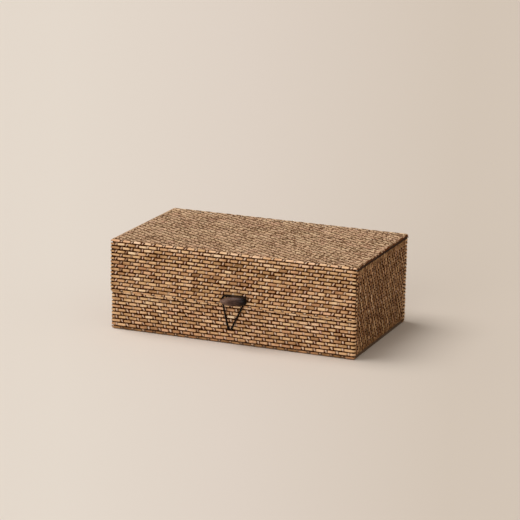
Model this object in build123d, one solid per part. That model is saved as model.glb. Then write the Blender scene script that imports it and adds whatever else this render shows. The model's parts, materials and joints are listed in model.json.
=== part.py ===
from build123d import *
import os

# Lidded organizer box: board walls under a woven mat, a lid with a folding front flap, a turned
# toggle and an elastic loop. Millimetres, +Z up, front towards -Y.
# The origin is the middle of the rectangle that the lid and flap cover, on the table.

# Overall size
lid_width = 280.0
box_depth = 171.0
box_height = 100.0
side_overhang = 0.6
flap_bottom = 42.5

# Sheet goods
mat_thickness = 2.0
wall_board = 2.5
lid_board_thickness = 2.0
flap_board_thickness = 0.8
base_board_thickness = 2.6
cloth_thickness = 0.4

# Edges, folds and insets
running_gap = 0.3
fold_radius = 4.6
board_corner_radius = 1.4
mat_edge_round = 1.2
base_inset = 1.2
binding_inset = 0.6

# Toggle, turned about its own long axis
toggle_length = 30.9
toggle_belly_radius = 5.1
toggle_belly_place = 17.0
toggle_tip_fullness = 2.0
toggle_tip_taper = 9.5
toggle_heel_fullness = 4.8
toggle_heel_taper = 8.0
toggle_cuts_per_side = 4
toggle_x = 6.2
toggle_z = 50.0
toggle_standoff = 6.7
toggle_slope = 7.0

# Cord shank of the toggle
tie_diameter = 2.0
tie_hole_clearance = 0.1
tie_knot_diameter = 4.6
knot_clearance = 0.2

# Elastic loop
elastic_diameter = 1.8
elastic_gap = 0.15
loop_hole_x = -0.6
loop_hole_spacing = 4.2
loop_hole_z = 16.4
loop_top_left_x = -10.0
loop_top_left_z = 53.9
loop_top_right_x = 20.0
loop_top_right_z = 55.0
loop_corner_radius = 2.2
loop_exit_radius = 1.7
loop_exit_reach = 1.9
loop_flap_bend = 40.0
loop_knot_length = 8.5
loop_knot_height = 4.4
loop_knot_depth = 1.6

# Levels and faces that follow from the sizes
body_width = lid_width - 2 * side_overhang
lid_mat_underside = box_height - mat_thickness
lid_board_underside = lid_mat_underside - lid_board_thickness
lid_underside = lid_board_underside - cloth_thickness
rim_height = lid_underside - running_gap
wall_top = rim_height - cloth_thickness
base_height = cloth_thickness + base_board_thickness
lining_bottom = base_height + cloth_thickness

flap_face = -box_depth / 2
flap_back = flap_face + mat_thickness + flap_board_thickness + cloth_thickness
body_front = flap_back + running_gap
body_back = box_depth / 2
body_depth = body_back - body_front
body_middle = (body_front + body_back) / 2

fold_front_y = flap_face + fold_radius
fold_back_y = body_back - fold_radius
fold_z = box_height - fold_radius

mat_corner_radius = board_corner_radius + mat_thickness
wall_inset = mat_thickness + wall_board
inner_inset = wall_inset + cloth_thickness
tie_radius = tie_diameter / 2
elastic_radius = elastic_diameter / 2


def block(x_range, y_range, z_range):
    """A box between two values on each axis."""
    sizes = [high - low for low, high in (x_range, y_range, z_range)]
    middle = [(low + high) / 2 for low, high in (x_range, y_range, z_range)]
    return Pos(*middle) * Box(*sizes)


def body_prism(inset, corner_radius, bottom, top):
    """The body's plan outline, set in by inset, between two heights."""
    width = body_width - 2 * inset
    depth = body_depth - 2 * inset
    outline = RectangleRounded(width, depth, corner_radius) if corner_radius else Rectangle(width, depth)
    return Pos(0, body_middle, bottom) * extrude(outline, top - bottom)


def loop_hole_places():
    """X of the left and right strand where they leave the front wall."""
    return [loop_hole_x - loop_hole_spacing / 2, loop_hole_x + loop_hole_spacing / 2]


def loop_holes(clearance, front, back):
    """Two pins along Y at the elastic's holes."""
    pins = [
        Pos(x, (front + back) / 2, loop_hole_z)
        * Rot(90, 0, 0)
        * Cylinder(elastic_radius + clearance, back - front)
        for x in loop_hole_places()
    ]
    return pins[0] + pins[1]


def loop_knot(clearance):
    """The flat knot behind the two holes, grown by clearance."""
    depth = loop_knot_depth
    outline = RectangleRounded(
        loop_knot_length + 2 * clearance,
        loop_knot_height + 2 * clearance,
        loop_knot_height / 2 - 0.1,
    )
    inner_face = body_front + wall_inset
    plane = Plane(origin=(loop_hole_x, inner_face, loop_hole_z), x_dir=(1, 0, 0), z_dir=(0, -1, 0))
    return plane * extrude(outline, depth)


def base_parts():
    """Board floor in its cloth tray."""
    corner = mat_corner_radius - base_inset
    board = body_prism(base_inset + cloth_thickness, corner - cloth_thickness, cloth_thickness, base_height)
    cover = body_prism(base_inset, corner, 0, base_height) - board
    return {"base_board": board, "base_cover": cover}


def wall_panels():
    """Four wall boards: front and back run the full width, the sides stand between them."""
    frame = body_prism(mat_thickness, board_corner_radius, base_height, wall_top)
    frame -= body_prism(wall_inset, 0, base_height, wall_top)
    half = body_width / 2
    heights = (base_height, wall_top)
    front_inner = body_front + wall_inset
    back_inner = body_back - wall_inset
    front = frame & block((-half, half), (body_front, front_inner), heights)
    back = frame & block((-half, half), (back_inner, body_back), heights)
    left = frame & block((-half, 0), (front_inner, back_inner), heights)
    right = frame & block((0, half), (front_inner, back_inner), heights)
    front -= loop_holes(elastic_gap, body_front, front_inner)
    front -= loop_knot(knot_clearance)
    return {"front_panel": front, "back_panel": back, "left_panel": left, "right_panel": right}


def body_mat():
    """The mat round all four walls, its lower edge rolled under."""
    mat = body_prism(0, mat_corner_radius, base_height, wall_top)
    mat = fillet(mat.faces().sort_by(Axis.Z)[0].edges(), mat_edge_round)
    mat -= body_prism(mat_thickness, board_corner_radius, base_height, wall_top)
    mat -= loop_holes(elastic_gap, body_front, body_front + mat_thickness)
    return {"body_mat": mat}


def rim_binding():
    """Cloth over the top edge of walls and mat, open at the back where the fold comes down."""
    ring = body_prism(0, mat_corner_radius, wall_top, rim_height)
    ring -= body_prism(inner_inset, 0, wall_top, rim_height)
    half = body_width / 2
    fold_foot = block((-half, half), (body_back - mat_thickness, body_back), (wall_top, rim_height))
    return {"rim_binding": ring - fold_foot}


def linings():
    """Cloth on the floor and on the inside of each wall."""
    floor = body_prism(wall_inset, 0, base_height, lining_bottom)
    frame = body_prism(wall_inset, 0, lining_bottom, wall_top)
    frame -= body_prism(inner_inset, 0, lining_bottom, wall_top)
    half = body_width / 2
    heights = (lining_bottom, wall_top)
    front_inner = body_front + inner_inset
    back_inner = body_back - inner_inset
    return {
        "floor_lining": floor,
        "front_lining": frame & block((-half, half), (body_front, front_inner), heights),
        "back_lining": frame & block((-half, half), (back_inner, body_back), heights),
        "left_lining": frame & block((-half, 0), (front_inner, back_inner), heights),
        "right_lining": frame & block((0, half), (front_inner, back_inner), heights),
    }


def cover_sheet():
    """The mat over flap, lid and back edge as one bent sheet, before it is parted at the folds."""
    outer = RectangleRounded(box_depth, 2 * box_height, fold_radius)
    inner = RectangleRounded(
        box_depth - 2 * mat_thickness,
        2 * (box_height - mat_thickness),
        fold_radius - mat_thickness,
    )
    outside = extrude(Plane.YZ * outer, lid_width / 2, both=True)
    ends = outside.faces().filter_by(Axis.X)
    outside = fillet(ends.edges(), mat_edge_round)
    return outside - extrude(Plane.YZ * inner, lid_width, both=True)


def cover_parts():
    """Flap mat, lid mat and the two folds between them, cut from the bent sheet."""
    sheet = cover_sheet()
    across = (-lid_width / 2, lid_width / 2)
    front = (flap_face, fold_front_y)
    back = (fold_back_y, body_back)
    upper = (fold_z, box_height)
    flap_mat = sheet & block(across, front, (flap_bottom, fold_z))
    lower_edge = flap_mat.edges().filter_by(Axis.X).group_by(Axis.Z)[0].sort_by(Axis.Y)[0]
    flap_mat = fillet(lower_edge, mat_edge_round)
    flap_mat -= tie_pin(tie_radius + tie_hole_clearance, flap_face, flap_face + mat_thickness)
    return {
        "flap_mat": flap_mat,
        "front_fold": sheet & block(across, front, upper),
        "lid_mat": sheet & block(across, (fold_front_y, fold_back_y), upper),
        "back_fold": sheet & block(across, back, (wall_top, box_height)),
    }


def lid_parts():
    """Lid board with its lining and the bindings of its side edges."""
    board_half = lid_width / 2 - binding_inset - cloth_thickness
    span = (fold_front_y, fold_back_y)
    edge = (lid_underside, lid_mat_underside)
    outer = board_half + cloth_thickness
    return {
        "lid_board": block((-board_half, board_half), span, (lid_board_underside, lid_mat_underside)),
        "lid_lining": block((-board_half, board_half), span, (lid_underside, lid_board_underside)),
        "left_lid_binding": block((-outer, -board_half), span, edge),
        "right_lid_binding": block((board_half, outer), span, edge),
    }


def flap_parts():
    """Flap board and lining behind the flap's mat, with the knot's hole."""
    half = lid_width / 2 - binding_inset
    board_front = flap_face + mat_thickness
    board_back = board_front + flap_board_thickness
    board = block((-half, half), (board_front, board_back), (flap_bottom, fold_z))
    board -= tie_pin(tie_knot_diameter / 2 + knot_clearance, board_front, board_back)
    lining = block((-half, half), (board_back, flap_back), (flap_bottom, fold_z))
    return {"flap_board": board, "flap_lining": lining}


def tie_pin(radius, front, back):
    """A round pin along Y on the toggle's swivel axis."""
    return Pos(toggle_x, (front + back) / 2, toggle_z) * Rot(90, 0, 0) * Cylinder(radius, back - front)


def turned_toggle():
    """The toggle turned in short straight cuts, tip at the left, its middle on the swivel axis."""
    belly = (toggle_belly_place, toggle_belly_radius)
    tip_side = Bezier(
        (0, 0),
        (0, toggle_tip_fullness),
        (toggle_belly_place - toggle_tip_taper, toggle_belly_radius),
        belly,
    )
    heel_side = Bezier(
        belly,
        (toggle_belly_place + toggle_heel_taper, toggle_belly_radius),
        (toggle_length, toggle_heel_fullness),
        (toggle_length, 0),
    )
    cuts = toggle_cuts_per_side
    outline = [tip_side @ (i / cuts) for i in range(cuts)]
    outline += [heel_side @ (i / cuts) for i in range(cuts + 1)]
    turned = revolve(Plane.XZ * make_face(Polyline(*outline, close=True)), Axis.X)
    place = Pos(toggle_x, flap_face - toggle_standoff, toggle_z) * Rot(0, -toggle_slope, 0)
    return place * Pos(-toggle_length / 2, 0, 0) * turned


def toggle_parts():
    """Toggle and the cord shank that holds it to the flap."""
    toggle_middle = flap_face - toggle_standoff
    board_front = flap_face + mat_thickness
    shank = tie_pin(tie_radius, toggle_middle, board_front)
    knot = tie_pin(tie_knot_diameter / 2, board_front, board_front + flap_board_thickness)
    bore = tie_pin(tie_radius, toggle_middle, flap_face)
    return {"toggle": turned_toggle() - bore, "toggle_tie": shank + knot}


def on_strand(foot, top, height):
    """X of a straight strand from foot to top where it reaches a height."""
    share = (height - foot[1]) / (top[1] - foot[1])
    return foot[0] + share * (top[0] - foot[0])


def elastic_route():
    """Corner points of the elastic from the left hole over the toggle to the right hole, and radii."""
    left, right = loop_hole_places()
    near = body_front - loop_exit_reach
    proud = flap_face - elastic_gap - elastic_radius
    top_left = (loop_top_left_x, loop_top_left_z)
    top_right = (loop_top_right_x, loop_top_right_z)
    bend_z = flap_bottom
    left_bend = on_strand((left, loop_hole_z), top_left, bend_z)
    right_bend = on_strand((right, loop_hole_z), top_right, bend_z)
    points = [
        (left, body_front, loop_hole_z),
        (left, near, loop_hole_z),
        (left_bend, proud, bend_z),
        (top_left[0], proud, top_left[1]),
        (top_right[0], proud, top_right[1]),
        (right_bend, proud, bend_z),
        (right, near, loop_hole_z),
        (right, body_front, loop_hole_z),
    ]
    ends = [loop_exit_radius, loop_flap_bend, loop_corner_radius]
    return points, ends + ends[::-1]


def elastic_parts():
    """The elastic outside the wall, and its tails with their knot inside it."""
    points, radii = elastic_route()
    path = FilletPolyline(*points, radius=radii)
    start = Plane(origin=points[0], z_dir=(0, -1, 0))
    loop = sweep(start * Circle(elastic_radius), path=path)
    print("elastic length", round(path.length, 1), "mm, radii", radii)
    print("tube volume over section times length",
          round(loop.volume / (Circle(elastic_radius).area * path.length), 4))
    knot_front = body_front + wall_inset - loop_knot_depth
    tails = loop_holes(0, body_front, knot_front) + loop_knot(0)
    return {"elastic_loop": loop, "loop_tails": tails}


def all_parts():
    """Every node by name."""
    groups = [
        base_parts(), wall_panels(), body_mat(), rim_binding(), linings(), cover_parts(),
        lid_parts(), flap_parts(), toggle_parts(), elastic_parts(),
    ]
    return {name: shape for group in groups for name, shape in group.items()}


os.makedirs("parts", exist_ok=True)
for name, shape in all_parts().items():
    export_step(shape, f"parts/{name}.step")
    print(name, round(shape.volume, 2))
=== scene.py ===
import json
from math import cos, pi, radians, sin

import bpy
import numpy as np
from mathutils import Matrix, Vector


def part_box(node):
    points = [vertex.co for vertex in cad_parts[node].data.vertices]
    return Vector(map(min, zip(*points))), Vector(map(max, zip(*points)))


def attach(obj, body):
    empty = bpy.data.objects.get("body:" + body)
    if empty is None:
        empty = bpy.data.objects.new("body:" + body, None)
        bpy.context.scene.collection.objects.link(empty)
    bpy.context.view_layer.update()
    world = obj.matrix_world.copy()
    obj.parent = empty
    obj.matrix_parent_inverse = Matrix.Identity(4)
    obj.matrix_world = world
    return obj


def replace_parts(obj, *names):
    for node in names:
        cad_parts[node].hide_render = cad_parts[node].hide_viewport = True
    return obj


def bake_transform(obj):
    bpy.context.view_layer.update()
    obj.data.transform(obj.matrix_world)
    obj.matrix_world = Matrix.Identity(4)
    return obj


# Organizer box under a woven straw mat: real strands round the body and over the lid and flap,
# a stained wooden toggle and a braided elastic. Metres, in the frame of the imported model.
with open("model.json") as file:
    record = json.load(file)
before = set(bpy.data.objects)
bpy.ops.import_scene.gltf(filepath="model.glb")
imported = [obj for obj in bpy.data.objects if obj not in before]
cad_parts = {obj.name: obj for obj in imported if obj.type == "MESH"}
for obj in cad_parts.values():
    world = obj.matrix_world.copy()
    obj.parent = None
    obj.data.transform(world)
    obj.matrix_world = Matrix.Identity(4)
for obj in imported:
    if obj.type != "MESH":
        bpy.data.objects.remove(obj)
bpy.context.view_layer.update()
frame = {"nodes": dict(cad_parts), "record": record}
mm = 0.001

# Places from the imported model
body_low, body_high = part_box("body_mat")
lid_low, lid_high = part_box("lid_mat")
flap_low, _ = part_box("flap_mat")
fold_low, fold_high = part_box("back_fold")

# Mats: how they bend, how far the left one stands out, how far the front and back ones wrap round the
# corners, and how high they start
mat_depth = lid_high.z - lid_low.z
fold_radius = lid_low.y - flap_low.y
front_fold_radius = 2.8 * mm
body_corner_radius = 2.8 * mm
left_proud = 1.0 * mm
front_wrap = 3.2 * mm
back_wrap = 9.0 * mm
cover_edge_roll = 2.0 * mm
body_edge_roll = 1.6 * mm
front_foot = 0.7 * mm
side_foot = 3.6 * mm
bend_steps = 16

# Strands: wefts are the flat strips, warps the thin cords across them. A crown is how high a strand's top
# is over the mat's face.
flap_row_pitch = 4.1 * mm
lid_row_pitch = 3.82 * mm
body_row_pitch = 4.06 * mm
flap_first_row = 2.2 * mm
body_first_row = 2.2 * mm
warp_spacing = 6.28 * mm
edge_to_warp = 5.6 * mm
weft_width = 2.85 * mm
weft_depth = 0.95 * mm
weft_crown = 0.15 * mm
weft_squareness = 0.4
warp_width = 2.25 * mm
warp_depth = 0.75 * mm
warp_crown = -0.2 * mm
warp_squareness = 0.9
warp_slant = 0.6 * mm
warp_foot_gap = 0.2 * mm
warp_head_gap = 0.1 * mm
twist_length = 5.2 * mm
twist_relief = 0.2
twist_ply = 2
strand_sides = 8

# Backing: a thin dark sheet under the strands, its middle this far below the mat's face
backing_depth, backing_below = 0.14 * mm, 1.86 * mm
backing_steps, backing_sides = 260, 30

# Where a weft passes under a warp and where a warp shows over a weft, to either side in shares of the
# spacing and the pitch, how sharply they bend there, and the steps along each that follow the bends
half_gap, half_bit, crispness = 0.34, 0.35, 60
steps_beside_warp = (-0.5, -0.37, -0.31, 0.0, 0.31, 0.37)
steps_beside_row = (-0.5, -0.39, -0.31, 0.0, 0.31, 0.39)
end_steps = 10

# A weft is narrower at its wrapped ends and where it passes under. The cover's have dark ends, each as long
# as dark_lip times a random share.
wrapped_end = 4.5 * mm
end_taper = 0.22
sunk_taper = 0.07
dark_lip = 1.5 * mm
shortest_lip, lip_spread = 0.3, 1.3

# Unevenness: a change is from strand to strand or brick to brick, a drift goes on along a strand
weft_drift_length, warp_drift_length = 18 * mm, 14 * mm
gap_change = 0.03
weft_height_drift, weft_place_drift = 0.05 * mm, 0.16 * mm
weft_width_change, weft_width_drift, weft_tilt_drift = 0.06, 0.05, 0.07
weft_tone_change, weft_tone_drift, brick_tone_change = 0.045, 0.035, 0.09
weft_redness, weft_redness_change, weft_redness_drift, brick_redness_change = 0.25, 0.1, 0.1, 0.16
warp_place_drift, warp_slant_change = 0.22 * mm, 0.2 * mm
warp_width_change, warp_width_drift = 0.1, 0.08
warp_tone_change, warp_tone_drift, warp_redness_drift = 0.1, 0.1, 0.3
lid_unevenness = 0.35
wall_seed, cover_seed, toggle_seed = 11, 23, 5

# Brightness: the plain one, the side walls' in its place (lower, a painted shade), how many times that
# difference their warps take, and what is added for the lowest row's strands and for the lid's warps (both
# painted shade)
plain_tone = 0.5
side_shade_tone = 0.36
warp_tone_rise = 3
foot_shade_tone = -0.3
lid_warp_shade_tone = -0.8

# Where the elastic comes out, the rows part: how far aside and up this reaches, and by how much
parting_aside, parting_up, parting = 6 * mm, 3.2 * mm, 0.9 * mm

# Toggle, as in the CAD source
toggle_length = 30.9 * mm
toggle_belly_radius = 5.1 * mm
toggle_belly_place = 17.0 * mm
toggle_tip_fullness = 2.0 * mm
toggle_tip_taper = 9.5 * mm
toggle_heel_fullness = 4.8 * mm
toggle_heel_taper = 8.0 * mm
toggle_middle = Vector((6.2, -92.2, 50.0)) * mm
toggle_slope = radians(7.0)
toggle_end_radius = 0.02 * mm

# Shares of the toggle's radius by which it is oval, uneven round about and dented along its length
toggle_oval, toggle_unevenness, toggle_dents = 0.012, 0.008, 0.006
toggle_oval_turn = 0.6

# Elastic's braid: its threads each way round, how far apart they cross along it, and, in shares of its
# radius, how full it is and how much it rises where they cross
braid_threads = 4
braid_crossing = 0.9 * mm
braid_fullness, braid_relief = 1.1, 0.04

# Elastic loop, as in the CAD source but with its feet 1 mm closer together; its route is in mm
elastic_diameter = 1.8 * mm
elastic_front = -86.55
elastic_near = -83.9
elastic_wall = -82.0
elastic_points = [
    (-2.2, elastic_wall, 16.4), (-2.2, elastic_near, 16.4), (-2.6, -84.2, 18.6),
    (-7.3, elastic_front, 42.5), (-9.6, elastic_front, 53.4), (1.5, elastic_front, 53.95),
    (6.2, elastic_front, 54.2), (20.0, elastic_front, 54.9), (13.8, elastic_front, 42.5),
    (1.9, -84.2, 18.6), (1.0, elastic_near, 16.4), (1.0, elastic_wall, 16.4),
]

# Camera, fitted to the box's corners in the photograph, for a square picture
camera_azimuth, camera_elevation, camera_roll = radians(21.492), radians(14.288), radians(1.239)
camera_distance = 2532.554 * mm
camera_aside, camera_up = 0.729 * mm, 70.989 * mm
focal_in_pixels, picture_pixels, sensor = 2316.0, 520, 36

# Floor: half its side, the place that its shades fan out from, and the bearings of its first and last shade;
# its shades are a painted falloff of the light, darker towards the right
floor_half = 12.0
floor_fan_centre = (0.9, -2.29)
floor_fan_edges = radians(-26.5), radians(-16.5)

# Light: directions to the lamps, their softness in degrees and strength, and the even surround
key_direction, key_softness, key_strength = (-0.44, -0.1, 0.893), 42, 1.9
fill_direction, fill_softness, fill_strength = (0.05, -0.96, 0.24), 45, 1.3
surround_colour, surround_strength = (1.0, 0.93, 0.82, 1), 0.31
backdrop_colour = (0.75, 0.66, 0.577, 1)

# Colours: places on a ramp and the colours there, or the darkest and the lightest of a cloth
straw_stops = [
    (0.1, (0.23, 0.115, 0.042)), (0.35, (0.5, 0.285, 0.13)),
    (0.55, (0.73, 0.46, 0.235)), (0.85, (0.94, 0.7, 0.45)),
]
# The lid's straw is greyer than the flap's, a painted sheen of its grazing view, and paler to make up for
# its shade specks
lid_sheen_straw_stops = [
    (0.1, (0.3, 0.17, 0.08)), (0.35, (0.62, 0.4, 0.225)),
    (0.55, (0.79, 0.56, 0.345)), (0.85, (0.87, 0.67, 0.46)),
]
warp_stops = [
    (0.1, (0.3, 0.175, 0.1)), (0.4, (0.64, 0.445, 0.3)),
    (0.65, (0.72, 0.52, 0.36)), (0.9, (0.8, 0.62, 0.45)),
]
wood_stops = [
    (0.2, (0.003, 0.001, 0.0006)), (0.38, (0.025, 0.01, 0.0065)), (0.54, (0.11, 0.06, 0.044)),
    (0.72, (0.16, 0.097, 0.073)), (0.92, (0.32, 0.215, 0.175)),
]
board_stops = [(0.3, (0.25, 0.22, 0.18)), (0.7, (0.47, 0.42, 0.35))]
cord_stops = [(0.3, (0.003, 0.0016, 0.001)), (0.7, (0.014, 0.009, 0.0065))]
floor_falloff_stops = [(0.0, (0.815, 0.742, 0.67)), (0.45, (0.768, 0.685, 0.618)), (1.0, (0.685, 0.6, 0.52))]
lining_colours = (0.36, 0.27, 0.18), (0.62, 0.51, 0.37)
binding_colours = (0.02, 0.009, 0.004), (0.085, 0.042, 0.021)
base_cloth_colours = (0.07, 0.038, 0.02), (0.22, 0.135, 0.075)
backing_colours = (0.02, 0.005, 0.0005), (0.07, 0.018, 0.0015)
pore_shade = (0.45, 0.38, 0.34)

# Shade specks, painted for the small shaded gaps seen on the lid and the side walls: where a noise from 0 to
# 1 begins and ends to show one, and how deep one is in the middle of a strip and how much deeper per width
# aside
shade_speck_begins, shade_speck_ends = 0.54, 0.6
shade_speck_depth, shade_speck_deepens = 0.55, 0.9

# What is left of a strand's colour where it is ruddy, in a painted shade speck or in painted shade where it
# passes under, the painted shade at its edges, and the share of its width that the edge shade leaves alone
ruddy_shade = (0.9, 0.74, 0.82)
shade_speck_colour = (0.15, 0.09, 0.035)
# Painted shade for the parts of wefts and warps that pass under
weft_painted_shade = (0.2, 0.08, 0.022)
warp_painted_shade = (0.17, 0.05, 0.008)
dust_colour = (0.155, 0.052, 0.006)
unshaded_share = 0.71

# Numbers of the colour mix node's sockets
mix_factor, mix_a, mix_b, mix_result = 0, 6, 7, 2


def camera_axes():
    """Right, up and back directions of the rolled camera."""
    a, e, r = camera_azimuth, camera_elevation, camera_roll
    back = Vector((sin(a) * cos(e), -cos(a) * cos(e), sin(e)))
    right = Vector((cos(a), sin(a), 0))
    up = back.cross(right)
    return right * cos(r) + up * sin(r), up * cos(r) - right * sin(r), back


def add_camera():
    """The camera from which the picture is taken."""
    right, up, back = camera_axes()
    camera = bpy.data.objects.new("camera", bpy.data.cameras.new("camera"))
    bpy.context.scene.collection.objects.link(camera)
    camera.matrix_world = Matrix((right, up, back)).transposed().to_4x4()
    camera.location = back * camera_distance + right * camera_aside + up * camera_up
    camera.data.sensor_width = sensor
    camera.data.lens = focal_in_pixels / picture_pixels * sensor
    camera.data.clip_end = 50
    bpy.context.scene.camera = camera


# Nodes

def add_node(tree, kind, inputs=(), **settings):
    """A shader node with its settings, and its inputs set or linked by name or number."""
    node = tree.nodes.new("ShaderNode" + kind)
    for key, value in settings.items():
        setattr(node, key, value)
    for key, value in dict(inputs).items():
        if isinstance(value, bpy.types.NodeSocket):
            tree.links.new(value, node.inputs[key])
        else:
            node.inputs[key].default_value = value
    return node


def new_material(name, roughness, specular):
    """A material, its node tree and its surface shader."""
    material = bpy.data.materials.new(name)
    material.use_nodes = True
    shader = material.node_tree.nodes["Principled BSDF"]
    shader.inputs["Roughness"].default_value = roughness
    shader.inputs["Specular IOR Level"].default_value = specular
    return material, material.node_tree, shader


def colour_ramp(tree, factor, stops):
    """A colour ramp through (position, colour) stops."""
    ramp = add_node(tree, "ValToRGB", {"Fac": factor})
    elements = ramp.color_ramp.elements
    while len(elements) < len(stops):
        elements.new(0.5)
    for element, (position, colour) in zip(elements, stops):
        element.position = position
        element.color = (*colour, 1)
    return ramp.outputs["Color"]


def math_node(tree, operation, a, b=0.0, c=0.0):
    """The result of a Math node for up to three sockets or numbers."""
    return add_node(tree, "Math", {0: a, 1: b, 2: c}, operation=operation).outputs[0]


def mix_colour(tree, mode, factor, a, b):
    """Colours a and b, each a socket or a plain colour, mixed by a factor from 0 to 1."""
    a, b = (c if isinstance(c, bpy.types.NodeSocket) else (*c, 1) for c in (a, b))
    inputs = {mix_factor: factor, mix_a: a, mix_b: b}
    return add_node(tree, "Mix", inputs, data_type="RGBA", blend_type=mode).outputs[mix_result]


def off_centre(tree, value):
    """A noise's value less its middle, 0.5."""
    return math_node(tree, "SUBTRACT", value, 0.5)


def attribute(tree, name, output="Fac"):
    return add_node(tree, "Attribute", attribute_name=name).outputs[output]


def object_place(tree):
    return add_node(tree, "TexCoord").outputs["Object"]


def parts_of(tree, vector):
    return add_node(tree, "SeparateXYZ", {0: vector}).outputs


def scaled(tree, vector, scale):
    """A vector with each part multiplied, so that a noise can be stretched along one of them."""
    return add_node(tree, "Mapping", {"Vector": vector, "Scale": scale}).outputs[0]


def noise(tree, vector, scale=1.0, detail=2.0, roughness=0.5):
    inputs = {"Vector": vector, "Scale": scale, "Detail": detail, "Roughness": roughness}
    return add_node(tree, "TexNoise", inputs).outputs["Fac"]


def add_bump(tree, shader, height, strength, distance):
    inputs = {"Height": height, "Strength": strength, "Distance": distance}
    tree.links.new(add_node(tree, "Bump", inputs).outputs[0], shader.inputs["Normal"])


def darkened_by_shade_specks(tree, colour, fibre, specks):
    """The colour with specks of painted shade across the strand, deeper away from its middle."""
    spots = {"Value": noise(tree, scaled(tree, fibre, (440, 60, 1)), detail=0)}
    limits = {"From Min": shade_speck_begins, "From Max": shade_speck_ends, "To Max": specks}
    speck = add_node(tree, "MapRange", spots | limits).outputs[0]
    off_middle = math_node(tree, "ABSOLUTE", parts_of(tree, fibre)[1])
    depth = math_node(tree, "MULTIPLY_ADD", off_middle, shade_speck_deepens / weft_width, shade_speck_depth)
    speck = math_node(tree, "MULTIPLY", speck, depth)
    return mix_colour(tree, "MULTIPLY", speck, colour, shade_speck_colour)


def straw_material(name, stops, painted_shade_colour, streaks, dust, bump, specks=0.0):
    """Dried plant strips: a colour for each strand, fibres along it, and painted shade where it passes
    under, in specks and at its edges.
    """
    material, tree, shader = new_material(name, roughness=0.6, specular=0.08)
    tone, fibre = attribute(tree, "tone"), attribute(tree, "fibre", "Vector")
    fine = noise(tree, scaled(tree, fibre, (120, 2600, 1)), detail=3)
    broad = noise(tree, scaled(tree, fibre, (60, 500, 1)))
    blotch = noise(tree, scaled(tree, fibre, (160, 160, 1)))
    for pattern in (fine, broad, blotch):
        tone = math_node(tree, "MULTIPLY_ADD", off_centre(tree, pattern), streaks, tone)
    colour = colour_ramp(tree, tone, stops)
    colour = mix_colour(tree, "MULTIPLY", attribute(tree, "redness"), colour, ruddy_shade)
    # Painted shade where the strand passes under
    colour = mix_colour(tree, "MULTIPLY", attribute(tree, "painted_shade"), colour, painted_shade_colour)
    if specks:
        colour = darkened_by_shade_specks(tree, colour, fibre, specks)
    # Painted shade along the strand's edges, towards the gaps between rows
    near_edge = math_node(tree, "POWER", attribute(tree, "edge"), 1.3)
    colour = mix_colour(tree, "MIX", math_node(tree, "MULTIPLY", near_edge, dust), colour, dust_colour)
    tree.links.new(colour, shader.inputs["Base Color"])
    tree.links.new(math_node(tree, "MULTIPLY_ADD", fine, 0.3, 0.42), shader.inputs["Roughness"])
    add_bump(tree, shader, math_node(tree, "ADD", fine, broad), bump, 0.12 * mm)
    return material


def cloth_material(name, colours, threads_per_metre=1100, roughness=0.8, bump=0.5, specular=0.25):
    """Plain woven cloth: threads along all three axes, so that each flat face shows a weave."""
    material, tree, shader = new_material(name, roughness, specular)
    place = object_place(tree)
    wobble = noise(tree, place, 900)
    waves = []
    for part in parts_of(tree, place):
        turn = math_node(tree, "MULTIPLY_ADD", part, 2 * pi * threads_per_metre, wobble)
        waves.append(math_node(tree, "SINE", turn))
    weave = math_node(tree, "MULTIPLY", waves[0], waves[1])
    weave = math_node(tree, "ADD", weave, math_node(tree, "MULTIPLY", waves[1], waves[2]))
    weave = math_node(tree, "ADD", weave, math_node(tree, "MULTIPLY", waves[0], waves[2]))
    slub = noise(tree, scaled(tree, place, (300, 60, 60)), detail=3)
    stain = noise(tree, place, 35, detail=3)
    shade = math_node(tree, "MULTIPLY_ADD", weave, 0.14, 0.42)
    shade = math_node(tree, "MULTIPLY_ADD", off_centre(tree, slub), 0.7, shade)
    shade = math_node(tree, "MULTIPLY_ADD", off_centre(tree, stain), 0.5, shade)
    dark, light = colours
    tree.links.new(colour_ramp(tree, shade, [(0.0, dark), (1.0, light)]), shader.inputs["Base Color"])
    add_bump(tree, shader, math_node(tree, "MULTIPLY_ADD", slub, 1.5, weave), bump, 0.1 * mm)
    return material


def board_material(name):
    """Pressed grey board with short fibres."""
    material, tree, shader = new_material(name, roughness=0.85, specular=0.2)
    place = object_place(tree)
    fibres = noise(tree, scaled(tree, place, (900, 300, 900)), detail=4)
    flecks = noise(tree, place, 260, detail=3)
    shade = math_node(tree, "MULTIPLY_ADD", flecks, 0.5, math_node(tree, "MULTIPLY", fibres, 0.5))
    tree.links.new(colour_ramp(tree, shade, board_stops), shader.inputs["Base Color"])
    add_bump(tree, shader, fibres, 0.35, 0.1 * mm)
    return material


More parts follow.
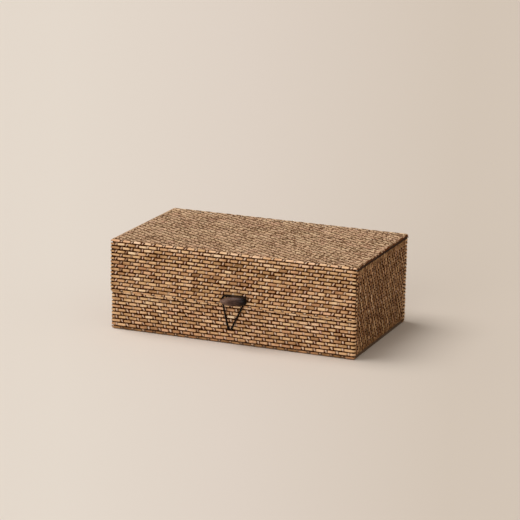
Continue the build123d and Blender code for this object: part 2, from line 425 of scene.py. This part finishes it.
def wood_material(name):
    """Dark stained wood: grain along X, paler towards the tip and darker towards the thick end as painted
    light, with fine pores.
    """
    material, tree, shader = new_material(name, roughness=0.4, specular=0.12)
    place = object_place(tree)
    grain = noise(tree, scaled(tree, place, (70, 900, 900)), detail=5, roughness=0.6)
    pores = noise(tree, scaled(tree, place, (260, 4200, 4200)))
    wear = noise(tree, scaled(tree, place, (120, 160, 160)), detail=3)
    along = parts_of(tree, place)[0]
    # Painted light: paler towards the tip on the left, where the key light falls, and darker towards the
    # thick end
    painted_light = 0.65
    painted_light_tipwards = (-painted_light / toggle_length, painted_light * toggle_middle.x / toggle_length)
    shade = math_node(tree, "MULTIPLY_ADD", grain, 0.6, math_node(tree, "MULTIPLY", wear, 0.4))
    shade = math_node(tree, "ADD", shade, math_node(tree, "MULTIPLY_ADD", along, *painted_light_tipwards))
    colour = colour_ramp(tree, shade, wood_stops)
    colour = mix_colour(tree, "MULTIPLY", math_node(tree, "MULTIPLY", pores, 0.5), colour, pore_shade)
    tree.links.new(colour, shader.inputs["Base Color"])
    tree.links.new(math_node(tree, "MULTIPLY_ADD", wear, 0.3, 0.18), shader.inputs["Roughness"])
    add_bump(tree, shader, math_node(tree, "ADD", grain, pores), 0.35, 0.12 * mm)
    return material


def cord_material(name):
    """Black braided cord with fine threads."""
    material, tree, shader = new_material(name, roughness=0.75, specular=0.08)
    threads = noise(tree, object_place(tree), 3200)
    tree.links.new(colour_ramp(tree, threads, cord_stops), shader.inputs["Base Color"])
    add_bump(tree, shader, threads, 0.5, 0.08 * mm)
    return material


# Mesh building

def mesh_object(name, points, faces, material):
    """A smooth mesh object from an array of points and a list of faces."""
    mesh = bpy.data.meshes.new(name)
    mesh.from_pydata(points.reshape(-1, 3).tolist(), [], faces)
    mesh.shade_smooth()
    mesh.materials.append(material)
    piece = bpy.data.objects.new(name, mesh)
    bpy.context.scene.collection.objects.link(piece)
    return piece


def tube_faces(strands, steps, sides):
    """Quads round and along a stack of tubes, with a flat face on each end."""
    index = np.arange(strands * steps * sides).reshape(strands, steps, sides)
    near, far = index[:, :-1], index[:, 1:]
    quads = np.stack([near, np.roll(near, -1, 2), np.roll(far, -1, 2), far], -1).reshape(-1, 4)
    return quads.tolist() + index[:, 0, ::-1].tolist() + index[:, -1].tolist()


def turned_outwards(points, faces):
    """The faces, reversed if they enclose a negative volume."""
    flat = points.reshape(-1, 3)
    quads = np.array([face for face in faces if len(face) == 4])
    a, b, c, d = (flat[quads[:, i]] for i in range(4))
    volume = np.einsum("ij,ij->", a, np.cross(b, c)) + np.einsum("ij,ij->", a, np.cross(c, d))
    return faces if volume > 0 else [face[::-1] for face in faces]


def tubes(name, points, material, **fields):
    """One object from points[strand, step, side], with fields[strand, step, side] kept as attributes."""
    faces = turned_outwards(points, tube_faces(*points.shape[:3]))
    piece = mesh_object(name, points, faces, material)
    for field, values in fields.items():
        kind, key = ("FLOAT_VECTOR", "vector") if values.ndim == points.ndim else ("FLOAT", "value")
        layer = piece.data.attributes.new(field, kind, "POINT")
        layer.data.foreach_set(key, values.astype(np.float32).ravel())
    return piece


# Paths and mats

class RoundedPath:
    """A flat outline of right-angled corners turning right, each rounded.

    It gives places on the outline and the way out of it, by the length run along it.
    """

    def __init__(self, points, radii):
        points = [np.array(p, float) for p in points]
        ways = [after - before for before, after in zip(points, points[1:])]
        places, outs, bend_rows = [], [], []
        for i, (point, radius) in enumerate(zip(points, radii)):
            way_in, way_on = ways[max(i - 1, 0)], ways[min(i, len(ways) - 1)]
            out_in, out_on = (np.array((-w[1], w[0])) / np.hypot(*w) for w in (way_in, way_on))
            turns = np.linspace(0, pi / 2, bend_steps) if radius else [0.0]
            centre = point - radius * (out_in + out_on) if radius else point
            bend_rows.append((len(places), len(places) + len(turns) - 1))
            for turn in turns:
                out = out_in * cos(turn) + out_on * sin(turn)
                places.append(centre + radius * out)
                outs.append(out)
        self.table = np.hstack([places, outs])
        self.run = np.concatenate([[0], np.cumsum(np.hypot(*np.diff(self.table[:, :2], axis=0).T))])
        self.length = self.run[-1]
        self.bends = [(self.run[a], self.run[b]) for a, b in bend_rows]

    def at(self, run):
        """Two arrays of pairs for an array of lengths: the places and the ways out."""
        columns = [np.interp(run, self.run, column) for column in self.table.T]
        return np.stack(columns[:2], -1), np.stack(columns[2:], -1)

    def run_where(self, column, value):
        """The length at which a coordinate that never turns back along the path has this value."""
        places = self.table[:, column]
        order = np.argsort(places, kind="stable")
        return float(np.interp(value, places[order], self.run[order]))


class Mat:
    """A mat bent along an outline in one plane, with its edges along the axis across that plane."""

    def __init__(self, outline, edge, axes, wefts_follow_outline):
        self.outline, self.edge, self.axes = outline, edge, axes
        self.wefts_follow_outline = wefts_follow_outline

    @property
    def paths(self):
        """The path along the wefts, then the path along the warps."""
        paths = (self.outline, self.edge)
        return paths if self.wefts_follow_outline else paths[::-1]

    def place(self, u, v, height):
        """Points by the length along the wefts, the length along the warps and the height over the mat."""
        along, across = (u, v) if self.wefts_follow_outline else (v, u)
        along, across, height = np.broadcast_arrays(along, across, height)
        outline, outline_out = self.outline.at(along)
        edge, edge_out = self.edge.at(across)
        lift = edge[..., 1] + height * edge_out[..., 1]
        result = np.empty((*height.shape, 3))
        result[..., self.axes[0]] = outline[..., 0] + outline_out[..., 0] * lift
        result[..., self.axes[1]] = outline[..., 1] + outline_out[..., 1] * lift
        result[..., self.axes[2]] = edge[..., 0] + height * edge_out[..., 0]
        return result


def wall_mat(corners, radii, foot, wefts_level):
    """One wall's mat, its lower edge rolled under."""
    outline = RoundedPath(corners, radii)
    ends = [(foot, -mat_depth), (foot, 0), (body_high.z, 0)]
    edge = RoundedPath(ends, [0, body_edge_roll, 0])
    return Mat(outline, edge, (0, 1, 2), wefts_level)


def wall_mats():
    """Front and back mats that wrap the corners, and side mats with their strips upright between them."""
    x0, x1, y0, y1 = body_low.x - left_proud, body_high.x, body_low.y, body_high.y
    near, far = y0 + front_wrap, y1 - back_wrap
    radii = [0, body_corner_radius, body_corner_radius, 0]
    return {
        "front": wall_mat([(x1, near), (x1, y0), (x0, y0), (x0, near)], radii, front_foot, True),
        "back": wall_mat([(x0, far), (x0, y1), (x1, y1), (x1, far)], radii, front_foot, True),
        "left": wall_mat([(x0, near), (x0, far)], [0, 0], side_foot, False),
        "right": wall_mat([(x1, far), (x1, near)], [0, 0], side_foot, False),
    }


def cover_mat():
    """The mat from the flap's lower edge over the front fold, the lid and the back fold."""
    front, back, top = flap_low.y, fold_high.y, lid_high.z
    low = flap_low.z
    corners = [(front + mat_depth, low), (front, low), (front, top), (back, top), (back, fold_low.z)]
    outline = RoundedPath(corners, [0, cover_edge_roll, front_fold_radius, fold_radius, 0])
    x0, x1 = lid_low.x, lid_high.x
    ends = [(x0, -mat_depth), (x0, 0), (x1, 0), (x1, -mat_depth)]
    edge = RoundedPath(ends, [0, cover_edge_roll, cover_edge_roll, 0])
    return Mat(outline, edge, (1, 2, 0), False)


def wander(rng, strands, share, knots, size):
    """A slow random drift for each strand, at places given as shares of its length from 0 to 1."""
    values = rng.normal(0, size, (strands, knots))
    place = share * knots
    knot = np.floor(place).astype(int)
    blend = place - knot
    blend = blend * blend * (3 - 2 * blend)
    return values[:, knot % knots] * (1 - blend) + values[:, (knot + 1) % knots] * blend


def section(width, depth, squareness):
    """Across and up offsets of a flat rounded strand, at each of its sides."""
    angle = 2 * pi * (np.arange(strand_sides) + 0.5) / strand_sides
    across, up = (np.sign(f) * np.abs(f) ** squareness for f in (np.cos(angle), np.sin(angle)))
    return across * width / 2, up * depth / 2


def even_places(low, high, pitch):
    """Places at nearly this pitch, the first and the last as given."""
    return np.linspace(low, high, round((high - low) / pitch) + 1)


class Weave:
    """All strands of one mat, as arrays of points and of what its material needs."""

    def __init__(self, mat, seed, rows_at, margin, base_tone=plain_tone, spread_rows=None):
        self.mat = mat
        self.rng = np.random.default_rng(seed)
        self.weft_path, self.warp_path = mat.paths
        self.warps_at = even_places(margin, self.weft_path.length - margin, warp_spacing)
        self.warp_count, self.spacing = len(self.warps_at), self.warps_at[1] - self.warps_at[0]
        self.rows_at, self.row_count = rows_at, len(rows_at)
        self.base_tone, self.spread_rows = base_tone, spread_rows
        self.row_tone, self.warp_tone = 0.0, 0.0
        self.dark_ends, self.unevenness = 0.0, 1.0

    def finish(self, points, length_along, across, tone, redness, painted_shade, seeds):
        """Points with their fields: brightness, redness, painted shade where a strand is sunk, how near the
        edge, fibre place.
        """
        off_middle = np.abs(across) / np.abs(across).max(axis=2, keepdims=True)
        edge = np.clip((off_middle - unshaded_share) / (1 - unshaded_share), 0, 1)
        fibre = np.zeros(points.shape)
        fibre[..., 0] = length_along[..., None]
        fibre[..., 1] = across
        fibre[..., 2] = seeds[:, None, None]
        whole = {"tone": tone, "redness": redness, "painted_shade": painted_shade}
        fields = {name: values[..., None] * np.ones(across.shape) for name, values in whole.items()}
        return points, fields | {"edge": np.broadcast_to(edge, points.shape[:3]), "fibre": fibre}

    def row_number(self, v):
        """Rows counted at a length along the warps, also before the first and after the last."""
        numbers, rows = np.arange(self.row_count), self.rows_at
        inside = np.interp(v, rows, numbers)
        before = np.minimum(v - rows[0], 0) / (rows[1] - rows[0])
        after = np.maximum(v - rows[-1], 0) / (rows[-1] - rows[-2])
        return inside + before + after

    def row_change(self, size):
        """A random change for each row."""
        return self.rng.normal(0, size, (self.row_count, 1))

    def row_drift(self, u, size, pace=1):
        """A random drift along each row; a higher pace turns sooner."""
        length = self.weft_path.length
        knots = max(3, round(length / weft_drift_length))
        return wander(self.rng, self.row_count, u / length, pace * knots, size)

    def crossing_change(self, size, crossing):
        """A random change for each numbered crossing or brick of each row, at every step of the rows."""
        changes = self.rng.normal(0, size, (self.row_count, self.warp_count))
        return np.take_along_axis(changes, crossing.astype(int), 1)

    def warp_change(self, size):
        """A random change for each warp."""
        return self.rng.normal(0, size, (self.warp_count, 1))

    def warp_drift(self, v, size):
        """A random drift along each warp."""
        length = self.warp_path.length
        knots = max(3, round(length / warp_drift_length))
        return wander(self.rng, self.warp_count, v / length, knots, size)

    def weft_lift(self, row, warps_on):
        """1 where a weft lies on top and -1 where it is under a warp, at steps counted in warps."""
        nearest = np.clip(np.round(warps_on), 0, self.warp_count - 1)
        under_it = (nearest + row) % 2 == 1
        gap = half_gap + self.crossing_change(gap_change, np.broadcast_to(nearest, under_it.shape))
        return np.where(under_it, np.tanh(crispness * (np.abs(warps_on - nearest) - gap)), 1)

    def weft_widths(self, u, lift, to_end):
        """Widths that change and drift, less where a weft is sunk or wrapped."""
        width = 1 + self.row_change(weft_width_change)
        width = weft_width * (width + self.row_drift(u, weft_width_drift, 2))
        return width * (1 - sunk_taper + sunk_taper * lift) * (1 - end_taper * (to_end < wrapped_end))

    def weft_shades(self, u, row, warps_on):
        """How bright and how red each brick is."""
        brick = np.floor((warps_on + row + 1) / 2) % self.warp_count
        change = self.row_change(weft_tone_change) + self.row_drift(u, weft_tone_drift)
        change = change + self.crossing_change(brick_tone_change, brick)
        redness = weft_redness + self.row_change(weft_redness_change)
        redness = redness + self.row_drift(u, weft_redness_drift)
        redness = redness + self.crossing_change(brick_redness_change, brick)
        return self.base_tone + self.row_tone + change * self.unevenness, np.clip(redness, 0, 1)

    def wefts(self):
        """Flat strips along the rows: each shows as a brick over every second warp."""
        rows, length = self.row_count, self.weft_path.length
        u = (self.warps_at[:, None] + np.array(steps_beside_warp) * self.spacing).ravel()
        ends = np.linspace(0, u[0], end_steps), np.linspace(u[-1], length, end_steps)
        u = np.concatenate([ends[0][:-1], u, ends[1][1:]])
        to_end = np.minimum(u, length - u)
        row = np.arange(rows)[:, None]
        warps_on = (u - self.warps_at[0]) / self.spacing
        lift = self.weft_lift(row, warps_on)
        lip = self.dark_ends * (shortest_lip + lip_spread * self.rng.random((rows, 1)))
        # Painted shade where a weft passes under a warp; the cover's dark ends take the same darkening
        painted_shade = np.maximum((1 - lift) / 2, to_end < lip)
        over, under = weft_crown - weft_depth / 2, weft_depth / 2 - mat_depth
        middle = (over + under) / 2 + lift * (over - under) / 2
        middle = middle + self.row_drift(u, weft_height_drift, 3) * self.unevenness
        v = self.rows_at[:, None] + self.row_drift(u, weft_place_drift) * self.unevenness
        if self.spread_rows:
            v = v + self.spread_rows(u, v)
        across, up = section(1.0, weft_depth, weft_squareness)
        across = across * self.weft_widths(u, lift, to_end)[..., None]
        tilt = self.row_drift(u, weft_tilt_drift, 2)[..., None] * across
        points = self.mat.place(u[:, None], v[..., None] + across, middle[..., None] + up + tilt)
        tone, redness = self.weft_shades(u, row, warps_on)
        along = np.broadcast_to(u, v.shape)
        return self.finish(points, along, across, tone, redness, painted_shade, self.rng.uniform(0, 99, rows))

    def warps(self, v):
        """Thin twisted cords across the rows: each shows between two bricks of every second row."""
        count = self.warp_count
        order = np.arange(count)[:, None]
        rows_on = self.row_number(v)
        nearest = np.round(rows_on)
        over_it = (nearest + order) % 2 == 1
        lift = np.where(over_it, np.tanh(crispness * (half_bit - np.abs(rows_on - nearest))), -1)
        over, under = warp_crown - warp_depth / 2, warp_depth / 2 - mat_depth
        middle = (over + under) / 2 + lift * (over - under) / 2
        u = self.warps_at[:, None] + self.warp_drift(v, warp_place_drift)
        u = u + np.sin(pi * (rows_on + order + 1)) * (warp_slant + self.warp_change(warp_slant_change))
        across, up = section(warp_width, warp_depth, warp_squareness)
        side = 2 * pi * np.arange(strand_sides) / strand_sides
        strand = 1 + twist_relief * np.sin(2 * pi * v[:, None] / twist_length + twist_ply * side)
        width = 1 + self.warp_change(warp_width_change) + self.warp_drift(v, warp_width_drift)
        across = across * strand * width[..., None]
        points = self.mat.place(u[..., None] + across, v[:, None], middle[..., None] + up * strand)
        tone = plain_tone + warp_tone_rise * (self.base_tone - plain_tone) + self.warp_tone
        tone = tone + self.warp_change(warp_tone_change) + self.warp_drift(v, warp_tone_drift)
        redness = np.clip(self.warp_drift(v, warp_redness_drift), 0, 1)
        # Painted shade where a warp passes under the wefts
        along, painted_shade = np.broadcast_to(v, u.shape), (1 - lift) / 2
        return self.finish(points, along, across, tone, redness, painted_shade, self.rng.uniform(0, 99, count))

    def backing(self, v_from, v_to):
        """The dark sheet that shows in the gaps, as one flat tube along the wefts."""
        u = np.linspace(0, self.weft_path.length, backing_steps + 1)
        half = np.linspace(v_from, v_to, backing_sides)
        v = np.concatenate([half, half[::-1]])
        height = np.repeat([backing_depth / 2, -backing_depth / 2], backing_sides)
        return self.mat.place(u[None, :, None], v, height - backing_below)


def part_of(strands, rows=slice(None), steps=slice(None)):
    """Some of a weave's strands, or some of their steps."""
    points, fields = strands
    return points[rows, steps], {name: values[rows, steps] for name, values in fields.items()}


def weave_piece(name, strands, material):
    points, fields = strands
    return tubes(name, points, material, **fields)


def warp_steps(rows_at, bounds):
    """Lengths along the warps with steps beside each row and on each bound, and the bounds' step numbers."""
    numbers = np.arange(len(rows_at))
    steps = (numbers[:, None] + np.array(steps_beside_row)).ravel()
    v = np.interp(steps, numbers, rows_at)
    v = np.unique(np.concatenate([v[(v > bounds[0]) & (v < bounds[-1])], bounds]))
    return v, np.searchsorted(v, bounds)


# Box body

def elastic_parting(mat):
    """How the rows give way where the elastic comes out between them."""
    aside = mat.outline.run_where(0, (elastic_points[0][0] + elastic_points[-1][0]) / 2 * mm)
    above = mat.edge.run_where(0, elastic_points[0][2] * mm)

    def spread(u, v):
        near = np.exp(-((u - aside) / parting_aside) ** 2)
        beside = np.exp(-((v - above) / parting_up) ** 2)
        return np.sign(v - above) * near * beside * parting

    return spread


def add_body_weave(straw, side_straw, warp, dark):
    """Wefts, warps and backing of each wall."""
    for number, (wall, mat) in enumerate(wall_mats().items()):
        level = mat.wefts_follow_outline
        length = mat.paths[1].length
        margin = weft_width / 2
        rows_at = even_places(body_first_row if level else margin, length - margin, body_row_pitch)
        spread = elastic_parting(mat) if wall == "front" else None
        # Painted shade: the side walls' straw, and their warps more so, is darker than the front's and the
        # back's
        tone = plain_tone if level else side_shade_tone
        weave = Weave(mat, wall_seed + number, rows_at, edge_to_warp + front_wrap, tone, spread)
        v, _ = warp_steps(rows_at, [warp_foot_gap, length - warp_head_gap])
        if level:
            # Painted shade: the lowest row, rolled under towards the floor, and the warps up to halfway to
            # the second row are darker
            weave.row_tone = np.where(rows_at == rows_at[0], foot_shade_tone, 0.0)[:, None]
            weave.warp_tone = np.where(v < rows_at[:2].mean(), foot_shade_tone, 0.0)
        wefts = weave_piece(wall + "_wall_wefts", weave.wefts(), straw if level else side_straw)
        warps = weave_piece(wall + "_wall_warps", weave.warps(v), warp)
        backing = weave_piece(wall + "_wall_backing", (weave.backing(0, length), {}), dark)
        for piece in (wefts, warps, backing):
            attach(piece, "box")
        if wall == "front":
            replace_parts(wefts, "body_mat")


# Cover

def cover_weave():
    """The cover's weave, the bounds between its groups of strands, and its warps' steps and their marks."""
    mat = cover_mat()
    up = mat.paths[1]
    _, _, front_fold, back_fold, _ = up.bends
    fold_row = sum(front_fold) / 2
    flap_rows = even_places(flap_first_row, fold_row, flap_row_pitch)
    lid_rows = even_places(fold_row, up.length - weft_width / 2, lid_row_pitch)
    rows_at = np.concatenate([flap_rows, lid_rows[1:]])
    weave = Weave(mat, cover_seed, rows_at, edge_to_warp + cover_edge_roll)
    weave.dark_ends = dark_lip
    weave.unevenness = np.where(rows_at > fold_row, lid_unevenness, 1.0)[:, None]
    bounds = [warp_foot_gap, *front_fold, back_fold[0], up.length]
    v, marks = warp_steps(rows_at, bounds)
    # Painted shade: the lid's warps are much darker, for the small shaded gaps of its grazing view
    weave.warp_tone = np.where(v > front_fold[1], lid_warp_shade_tone, 0.0)
    return weave, bounds, v, marks


def cover_groups(straw, lid_straw, warp, dark):
    """Wefts, warps and backing of flap, front fold, lid and back fold, cut where the bodies meet."""
    weave, bounds, v, marks = cover_weave()
    wefts, warps = weave.wefts(), weave.warps(v)

    # A row that lies almost on a bound belongs to the group after it
    almost = lid_row_pitch / 8
    row_marks = [0, *np.searchsorted(weave.rows_at, [b - almost for b in bounds[1:4]]), weave.row_count]
    groups = []
    for i, name in enumerate(("flap", "front_fold", "lid", "back_fold")):
        strips = straw if i < 2 else lid_straw
        rows = slice(row_marks[i], row_marks[i + 1])
        steps = slice(marks[i], marks[i + 1] + 1)
        backing = weave.backing(bounds[i], bounds[i + 1])
        groups.append([
            weave_piece(name + "_wefts", part_of(wefts, rows), strips),
            weave_piece(name + "_warps", part_of(warps, steps=steps), warp),
            weave_piece(name + "_backing", (backing, {}), dark),
        ])
    return groups


def add_cover_weave(straw, lid_straw, warp, dark):
    """The cover's strands, on the flap and the lid, and across the two folds."""
    groups = cover_groups(straw, lid_straw, warp, dark)
    flap, front, lid, back = groups
    for piece in flap:
        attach(piece, "flap")
    for piece in lid:
        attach(piece, "lid")
    for piece in front:
        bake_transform(piece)
    for piece in back:
        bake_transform(piece)
    for group, node in zip(groups, ("flap_mat", "front_fold", "lid_mat", "back_fold")):
        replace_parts(group[0], node)


# Toggle and elastic

def bezier(points, share):
    """Points of a cubic curve through its four control points, at shares of it from 0 to 1."""
    a, b, c, d = (np.array(p) for p in points)
    t = share[:, None]
    return (1 - t) ** 3 * a + 3 * t * (1 - t) ** 2 * b + 3 * t * t * (1 - t) * c + t ** 3 * d


def add_toggle(wood, steps=24, sides=56):
    """The turned toggle, a little out of round, with a few shallow dents."""
    belly = (toggle_belly_place, toggle_belly_radius)
    tip = [
        (0, 0), (0, toggle_tip_fullness),
        (toggle_belly_place - toggle_tip_taper, toggle_belly_radius), belly,
    ]
    heel = [
        belly, (toggle_belly_place + toggle_heel_taper, toggle_belly_radius),
        (toggle_length, toggle_heel_fullness), (toggle_length, 0),
    ]
    share = np.linspace(0, 1, steps)
    outline = np.vstack([bezier(tip, share)[:-1], bezier(heel, share)])
    along, radius = outline.T
    radius = np.maximum(radius, toggle_end_radius)
    turn = 2 * pi * np.arange(sides) / sides
    rng = np.random.default_rng(toggle_seed)
    oval = toggle_oval * np.sin(2 * turn + toggle_oval_turn)
    uneven = 1 + oval + wander(rng, 1, turn / (2 * pi), knots=7, size=toggle_unevenness)[0]
    dents = wander(rng, sides, np.linspace(0, 1, len(along)), knots=9, size=toggle_dents).T
    smooth_dents = (dents + np.roll(dents, 1, 1) + np.roll(dents, -1, 1)) / 3
    spread = radius[:, None] * (uneven + smooth_dents)
    points = np.empty((1, len(along), sides, 3))
    points[0, ..., 0] = (along - toggle_length / 2)[:, None]
    points[0, ..., 1] = spread * np.cos(turn)
    points[0, ..., 2] = spread * np.sin(turn)
    piece = tubes("wooden_toggle", points, wood)
    piece.data.transform(Matrix.Translation(toggle_middle) @ Matrix.Rotation(-toggle_slope, 4, "Y"))
    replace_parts(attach(piece, "toggle"), "toggle")


def spline_points(points):
    """Points along a smooth spline with these control points in mm, read from a curve with no bevel."""
    curve = bpy.data.curves.new("route", "CURVE")
    curve.dimensions = "3D"
    spline = curve.splines.new("NURBS")
    spline.points.add(len(points) - 1)
    for control, point in zip(spline.points, points):
        control.co = (*(mm * x for x in point), 1)
    spline.order_u = 3
    spline.use_endpoint_u = True
    spline.resolution_u = 24
    holder = bpy.data.objects.new("route", curve)
    bpy.context.scene.collection.objects.link(holder)
    line = bpy.data.meshes.new_from_object(holder)
    result = np.array([v.co for v in line.vertices])
    bpy.data.objects.remove(holder)
    return result


def evenly_spaced(points, step):
    """The same line with points nearly a step apart, and the length run to each."""
    run = np.concatenate([[0], np.cumsum(np.linalg.norm(np.diff(points, axis=0), axis=1))])
    at = np.linspace(0, run[-1], round(run[-1] / step) + 1)
    return np.stack([np.interp(at, run, points[:, i]) for i in range(3)], -1), at


def add_elastic(cord, sides=24, step=0.3 * mm):
    """The braided elastic: a tube whose surface rises where the threads of the braid cross."""
    line, run = evenly_spaced(spline_points(elastic_points), step)
    way = np.gradient(line, axis=0)
    way /= np.linalg.norm(way, axis=1)[:, None]

    # Rings start from a way that the cord never quite takes, not even where it goes into the wall
    side = np.cross(way, (0, 1, 0.02))
    side /= np.linalg.norm(side, axis=1)[:, None]
    other = np.cross(way, side)
    turn = 2 * pi * np.arange(sides) / sides
    lay = pi * run[:, None] / braid_crossing
    braid = np.cos(braid_threads * turn + lay) * np.cos(braid_threads * turn - lay)
    radius = elastic_diameter / 2 * (braid_fullness + braid_relief * braid)
    round_it = side[:, None] * np.cos(turn)[:, None] + other[:, None] * np.sin(turn)[:, None]
    points = (line[:, None] + radius[..., None] * round_it)[None]
    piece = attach(tubes("braided_elastic", points, cord), "loop")
    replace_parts(piece, "elastic_loop")


# Materials of the CAD nodes that stay in view

def dress(nodes, material):
    """Gives CAD nodes a material of their own."""
    for name in nodes:
        mesh = frame["nodes"][name].data
        mesh.materials.clear()
        mesh.materials.append(material)


def dress_cad_nodes(cord):
    """Each CAD node by its slot; the flap board's edge shows, so it is bound in brown like the others."""
    slots = {}
    for part in frame["record"]["subparts"]:
        slots.setdefault(part["material_slot"], []).append(part["node"])
    lining = cloth_material("beige_lining", lining_colours, threads_per_metre=900, roughness=0.9)
    binding = cloth_material("brown_binding", binding_colours, specular=0.06)
    base_cloth = cloth_material("tan_binding", base_cloth_colours)
    dress(slots["greyboard"], board_material("grey_board"))
    dress(slots["lining_cloth"], lining)
    dress(slots["brown_cloth"] + ["flap_board"], binding)
    dress(["base_cover"], base_cloth)
    dress(slots["black_cord"], cord)


# Stage

def add_floor():
    """A pale warm floor that darkens a little towards the right, by the bearing from in front of it: a
    painted falloff of the light.
    """
    corners = floor_half * np.array([(-1, -1, 0), (1, -1, 0), (1, 1, 0), (-1, 1, 0)])
    material, tree, shader = new_material("backdrop", roughness=0.9, specular=0.0)
    place = parts_of(tree, object_place(tree))
    aside, ahead = (math_node(tree, "SUBTRACT", place[i], floor_fan_centre[i]) for i in range(2))
    bearing = math_node(tree, "ARCTAN2", aside, ahead)
    low, high = floor_fan_edges
    share = math_node(tree, "MULTIPLY_ADD", bearing, 1 / (high - low), -low / (high - low))
    tree.links.new(colour_ramp(tree, share, floor_falloff_stops), shader.inputs["Base Color"])
    mesh_object("floor", corners, [[0, 1, 2, 3]], material)


def add_sun(name, direction, softness, strength):
    lamp = bpy.data.lights.new(name, "SUN")
    lamp.angle, lamp.energy = radians(softness), strength
    holder = bpy.data.objects.new(name, lamp)
    bpy.context.scene.collection.objects.link(holder)
    holder.rotation_euler = Vector(direction).to_track_quat("Z", "Y").to_euler()


def add_lights():
    """A soft key from high on the left, a soft low fill from the front and an even pale surround.

    The surround lights evenly, and the camera sees a plain backdrop colour in its place.
    """
    add_sun("key", key_direction, key_softness, key_strength)
    add_sun("front_fill", fill_direction, fill_softness, fill_strength)
    world = bpy.data.worlds.new("surround")
    bpy.context.scene.world = world
    world.use_nodes = True
    tree = world.node_tree
    light = tree.nodes["Background"]
    light.inputs["Color"].default_value = surround_colour
    light.inputs["Strength"].default_value = surround_strength
    rays = add_node(tree, "LightPath").outputs
    seen = math_node(tree, "MAXIMUM", rays["Is Camera Ray"], rays["Is Glossy Ray"])
    seen = math_node(tree, "MAXIMUM", seen, rays["Is Transmission Ray"])
    backdrop = add_node(tree, "Background", {"Color": backdrop_colour, "Strength": 1.0})
    mixed = add_node(tree, "MixShader", {0: seen, 1: light.outputs[0], 2: backdrop.outputs[0]})
    tree.links.new(mixed.outputs[0], tree.nodes["World Output"].inputs["Surface"])


def woven_straw(name, stops, **changes):
    """Straw as on the front and the flap, but for the changes."""
    looks = {"streaks": 0.45, "dust": 0.97, "bump": 0.5} | changes
    return straw_material(name, stops, weft_painted_shade, **looks)


def main():
    straw = woven_straw("straw_weft", straw_stops)
    # The side walls' and the lid's straw carry specks of painted shade; the lid's stops are greyer, a
    # painted sheen
    side_straw = woven_straw("straw_side", straw_stops, specks=0.9)
    lid_straw = woven_straw("straw_lid", lid_sheen_straw_stops, streaks=0.25, dust=0.6, specks=0.95)
    warp = straw_material("straw_warp", warp_stops, warp_painted_shade, streaks=0.45, dust=0.7, bump=0.7)
    dark = cloth_material("dark_backing", backing_colours, 700, roughness=0.95, bump=0.4, specular=0.0)
    cord = cord_material("braided_cord")
    dress_cad_nodes(cord)
    add_body_weave(straw, side_straw, warp, dark)
    add_cover_weave(straw, lid_straw, warp, dark)
    add_toggle(wood_material("stained_wood"))
    add_elastic(cord)
    add_floor()
    add_lights()
    add_camera()
    bpy.context.scene.view_settings.view_transform = "Standard"


main()
